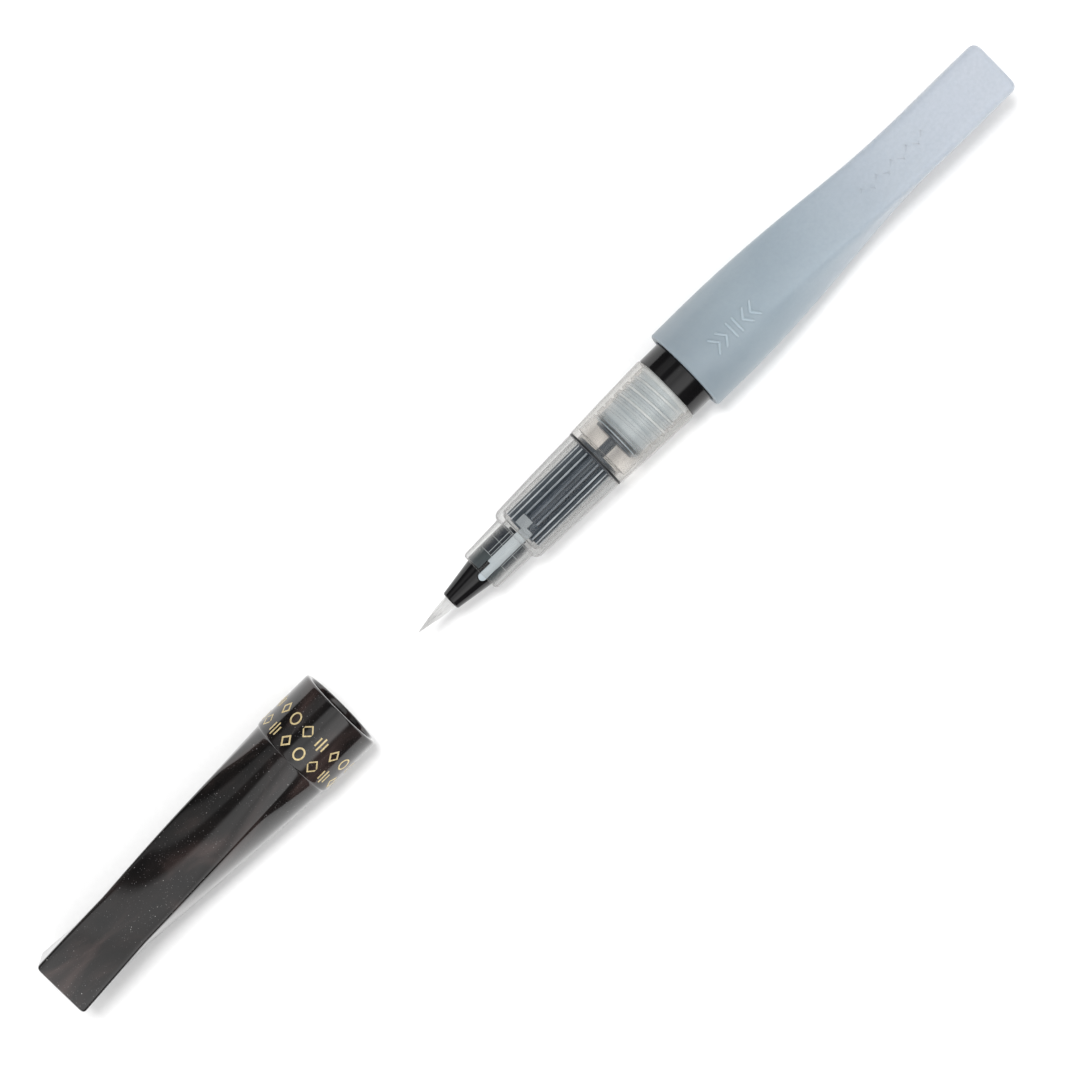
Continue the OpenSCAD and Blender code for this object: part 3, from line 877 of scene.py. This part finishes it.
def build_housing():
    prof = [(3.2, 14.8, 0.08), (3.74, 14.8, 0.2), (3.95, 15.3, 0.7), (4.2, 22.75, 0.3), (4.32, 23.03, 0.12), (4.55, 23.05, 0.3), (5.0, 23.42, 0.4), (5.27, 24.0, 0.8), (5.33, 25.6, 0), (5.6, 33.0, 0), (5.86, 41.85, 0.06),
            (4.85, 41.85, 0.05), (4.6, 24.9, 0.4), (3.9, 24.2, 0.3), (3.2, 24.0, 0.1)]
    ob = lathe("housing_clear", prof, seg=160, radius=0.1, steps=6, mat=M_CLEAR)
    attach(ob, "section")
    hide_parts("nose_housing")
    return ob


def build_ring():
    prof = [(5.4, 58.98, 0.1), (6.45, 58.98, 0.16), (6.45, 63.72, 0.14), (5.4, 63.72, 0.1)]
    ob = lathe("ring_black", prof, seg=160, steps=6, mat=M_RING)
    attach(ob, "ring")
    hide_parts("stopper_ring")
    return ob


def rounded_copy(node, name, mat, width=0.06, segments=3, angle=28.0):
    """A copy of a CAD piece with its hard edges eased, as a moulded piece has."""
    src = frame["nodes"][node]
    me = src.data.copy()
    me.name = name
    ob = bpy.data.objects.new(name, me)
    bpy.context.scene.collection.objects.link(ob)
    bm = bmesh.new()
    bm.from_mesh(me)
    bmesh.ops.remove_doubles(bm, verts=bm.verts, dist=2e-6)
    bmesh.ops.dissolve_limit(bm, angle_limit=math.radians(1.0), verts=bm.verts, edges=bm.edges)
    bm.to_mesh(me)
    bm.free()
    mod = ob.modifiers.new("ease", "BEVEL")
    mod.width = width * MM
    mod.segments = segments
    mod.limit_method = "ANGLE"
    mod.angle_limit = math.radians(angle)
    mod.use_clamp_overlap = True
    mod.harden_normals = False
    bpy.context.view_layer.update()
    done = bpy.data.meshes.new_from_object(ob.evaluated_get(bpy.context.evaluated_depsgraph_get()))
    ob.modifiers.clear()
    ob.data = done
    done.name = name
    if done.has_custom_normals:
        done.attributes.remove(done.attributes["custom_normal"]) if "custom_normal" in done.attributes else None
    done.materials.clear()
    done.materials.append(mat)
    done.polygons.foreach_set("use_smooth", [True] * len(done.polygons))
    done.set_sharp_from_angle(angle=math.radians(34))
    body = src["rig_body"]
    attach(ob, body)
    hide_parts(node)
    return ob


def build_nose_lines():
    """Painted highlights as pale hoops at the holder's divisions and along its slot lips, and painted shade as dark
    lines in the gap beside the vent key.
    """
    for name, mat, hoops, bars in (
            ("nose_highlight_lines", M_HIGHLIGHT_LINE, ((18.09, 3.10), (20.70, 3.08), (23.36, 3.10)), ((18.2, 23.2, -25.0, 3.12, 0.055), (18.2, 23.3, -12.9, 3.12, 0.05), (18.2, 23.2, 36.5, 3.12, 0.05), (25.0, 27.0, 38.0, 3.60, 0.06))),
            ("nose_gap_dark", M_SHADE_LINE, (), ((18.2, 23.2, -19.2, 3.11, 0.06), (24.95, 27.05, 46.0, 3.55, 0.07)))):
        verts, faces = [], []
        for p, r in hoops:
            path = [pt(r, 360.0 * i / 96, p) for i in range(97)]
            up = [np.array([1.0, 0.0, 0.0])] * len(path)
            tube(verts, faces, path, [0.045 * MM] * len(path), sides=6, up=up)
        for p0, p1, f, r, w in bars:
            path = [pt(r, f, p0 + (p1 - p0) * i / 12) for i in range(13)]
            up = [np.array(pt(r + 1, f, p0)) - np.array(pt(r, f, p0))] * len(path)
            up = [u / np.linalg.norm(u) for u in up]
            tube(verts, faces, path, [w * MM] * len(path), sides=8, up=up)
        ob = new_object(name, verts, faces, sharp=60, mat=mat)
        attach(ob, "section")


def build_neck_lines():
    """A painted shadow line in the gap, and a painted highlight on the lip, where the neck's front edge meets the seat.
    """
    for name, mat, p, r, w in (("neck_shade_gap", M_SHADE_LINE, 47.62, 4.80, 0.06), ("neck_lip_highlight", M_HIGHLIGHT_LINE, 48.02, 4.79, 0.07)):
        verts, faces = [], []
        path = [pt(r, 360.0 * i / 96, p) for i in range(97)]
        tube(verts, faces, path, [w * MM] * len(path), sides=8, up=[np.array([1.0, 0.0, 0.0])] * len(path))
        ob = new_object(name, verts, faces, sharp=60, mat=mat)
        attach(ob, "barrel")


def build_bristles():
    """Fine nylon fibres that start inside the ferrule and draw together to one point."""
    rng = np.random.default_rng(7)
    verts, faces = [], []

    def env(p):
        table = [(0.0, 0.02), (0.35, 0.10), (1.7, 0.36), (3.4, 0.65), (5.0, 0.90), (6.7, 1.09), (7.8, 1.14), (12.8, 1.14)]
        for (a, ra), (b, rb) in zip(table, table[1:]):
            if p <= b:
                return ra + (rb - ra) * max(0.0, p - a) / (b - a)
        return table[-1][1]

    count = 520
    golden = math.pi * (3 - math.sqrt(5))
    for i in range(count):
        rho = math.sqrt((i + 0.5) / count)
        f = math.degrees(golden * i)
        end = (rho ** 2.2) * rng.uniform(0.3, 3.4) + rng.uniform(0.0, 0.25)
        if rng.random() < 0.05:
            end += rng.uniform(0.5, 2.5)
        w0 = rng.uniform(0.045, 0.062)
        sway = rng.uniform(-5.0, 5.0)
        wob = rng.uniform(-0.02, 0.02)
        path, radii = [], []
        n = 13
        for j in range(n):
            t = j / (n - 1)
            p = 10.4 + (end - 10.4) * t ** 0.9
            r = rho * env(p) * (1 + wob * math.sin(5 * t))
            path.append(pt(max(r, 0.0), f + sway * t * t, p))
            radii.append(w0 * MM * (1 - 0.80 * max(0.0, t - 0.45) / 0.55))
        tube(verts, faces, path, radii, sides=5)
    # a soft core keeps light from passing straight through the tuft
    m = 32
    base = len(verts)
    stations = [10.6, 9.0, 7.8, 6.7, 5.0, 3.4, 1.7, 0.8]
    for p in stations:
        for i in range(m):
            verts.append(pt(env(p) * 0.86, 360.0 * i / m, p))
    for j in range(len(stations) - 1):
        for i in range(m):
            k = (i + 1) % m
            faces.append((base + j * m + i, base + j * m + k, base + (j + 1) * m + k, base + (j + 1) * m + i))
    faces.append(tuple(base + i for i in range(m)))
    faces.append(tuple(base + (len(stations) - 1) * m + i for i in reversed(range(m))))
    me = bpy.data.meshes.new("bristle_fibres")
    me.from_pydata(verts, [], faces)
    me.update()
    me.polygons.foreach_set("use_smooth", [True] * len(me.polygons))
    me.set_sharp_from_angle(angle=math.radians(75))
    me.materials.append(M_BRISTLE)
    ob = bpy.data.objects.new("bristle_fibres", me)
    bpy.context.scene.collection.objects.link(ob)
    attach(ob, "section")
    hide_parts("bristle_tuft")
    return ob


build_cap()
build_gold()
build_barrel()
build_neck()
build_press_mark()
build_sleeve()
build_housing()
build_ring()
build_nose_lines()
build_neck_lines()
build_bristles()
rounded_copy("ferrule", "ferrule_cone", M_FERRULE, 0.09)
rounded_copy("vent_key", "vent_key_bar", M_KEY, 0.10)
rounded_copy("front_bush", "front_bush_body", M_BUSH, 0.05)
rounded_copy("tip_holder", "tip_holder_body", M_HOLDER, 0.04)
rounded_copy("collector", "collector_body", M_FEED, 0.045)
rounded_copy("joint_gasket", "joint_gasket_ring", M_SEAL, 0.04)
rounded_copy("seal_plug", "seal_plug_body", M_PLUG, 0.03)
rounded_copy("plug_gasket", "plug_gasket_ring", M_SEAL, 0.04)
rounded_copy("inner_cap", "inner_cap_cup", M_CUP, 0.08)
for node, mat in (("feed_rod", M_WICK), ("relay_core", M_WICK), ("tuft_root_plug", M_RESIN), ("ink_charge", M_INK)):
    ob = frame["nodes"][node]
    ob.data.materials.clear()
    ob.data.materials.append(mat)


# ------------------------------------------------------------------ floor, light and camera
def build_floor():
    me = bpy.data.meshes.new("floor")
    s = 2.5
    me.from_pydata([(-s, -s, 0), (s, -s, 0), (s, s, 0), (-s, s, 0)], [], [(0, 1, 2, 3)])
    me.materials.append(mat_floor())
    ob = bpy.data.objects.new("floor", me)
    bpy.context.scene.collection.objects.link(ob)


def area(name, loc, target, size, power, size_y=None, color=(1, 1, 1)):
    data = bpy.data.lights.new(name, "AREA")
    data.energy = power
    data.color = color
    data.shape = "RECTANGLE"
    data.size = size
    data.size_y = size_y or size
    ob = bpy.data.objects.new(name, data)
    ob.location = loc
    ob.rotation_euler = (Vector(target) - Vector(loc)).to_track_quat("-Z", "Y").to_euler()
    bpy.context.scene.collection.objects.link(ob)
    return ob


build_floor()
key = area("key", (0.02, 0.19, 0.82), (0.0, 0.0, 0.0), 0.21, 4.6, 0.21)
key.visible_glossy = False


def build_world():
    """A soft white surround, with a long softbox pattern that only the gloss sees."""
    world = bpy.data.worlds.new("studio")
    world.use_nodes = True
    nt = world.node_tree
    nt.nodes.clear()
    out = nt.nodes.new("ShaderNodeOutputWorld")
    coord = nt.nodes.new("ShaderNodeTexCoord")
    sep = nt.nodes.new("ShaderNodeSeparateXYZ")
    nt.links.new(coord.outputs["Generated"], sep.inputs[0])
    neg = nt.nodes.new("ShaderNodeMath")
    neg.operation = "MULTIPLY"
    neg.inputs[1].default_value = -1.0
    nt.links.new(sep.outputs["Y"], neg.inputs[0])
    ang = nt.nodes.new("ShaderNodeMath")
    ang.operation = "ARCTAN2"
    nt.links.new(neg.outputs[0], ang.inputs[0])
    nt.links.new(sep.outputs["Z"], ang.inputs[1])
    pos = nt.nodes.new("ShaderNodeMapRange")
    pos.inputs["From Min"].default_value = -math.pi / 2
    pos.inputs["From Max"].default_value = math.pi / 2
    nt.links.new(ang.outputs[0], pos.inputs["Value"])

    def ramp(stops):
        n = nt.nodes.new("ShaderNodeValToRGB")
        cr = n.color_ramp
        while len(cr.elements) < len(stops):
            cr.elements.new(0.5)
        for e, (deg, v) in zip(cr.elements, stops):
            e.position = (deg + 90.0) / 180.0
            e.color = (v, v, v, 1.0)
        nt.links.new(pos.outputs["Result"], n.inputs["Fac"])
        b = nt.nodes.new("ShaderNodeBackground")
        b.inputs["Strength"].default_value = 1.0
        nt.links.new(n.outputs["Color"], b.inputs["Color"])
        return b.outputs[0]

    soft = ramp([(-90, 0.33), (0, 0.90), (90, 1.40)])
    gloss = ramp([(-90, 0.05), (-66, 0.06), (-60, 0.32), (-40, 0.42), (-36, 0.10), (-22, 0.08), (-17, 0.85), (-4, 0.95), (0, 0.75), (14, 1.25), (36, 1.45), (43, 0.10), (66, 0.05), (90, 0.05)])
    path = nt.nodes.new("ShaderNodeLightPath")
    mixer = nt.nodes.new("ShaderNodeMixShader")
    nt.links.new(path.outputs["Is Glossy Ray"], mixer.inputs[0])
    nt.links.new(soft, mixer.inputs[1])
    nt.links.new(gloss, mixer.inputs[2])
    nt.links.new(mixer.outputs[0], out.inputs["Surface"])
    bpy.context.scene.world = world


build_world()

cam_data = bpy.data.cameras.new("camera")
cam_data.lens = 106.6
cam_data.sensor_width = 36.0
cam_data.clip_start = 0.01
cam = bpy.data.objects.new("camera", cam_data)
cam.location = (-0.0001, -0.00326, 0.0081 + 0.54)
cam.rotation_euler = (0, 0, math.radians(-44.57))
bpy.context.scene.collection.objects.link(cam)
bpy.context.scene.camera = cam

bpy.context.scene.cycles.transparent_max_bounces = 48
view = bpy.context.scene.view_settings
view.view_transform = "Standard"
view.look = "None"
view.exposure = 0.0
view.gamma = 1.0
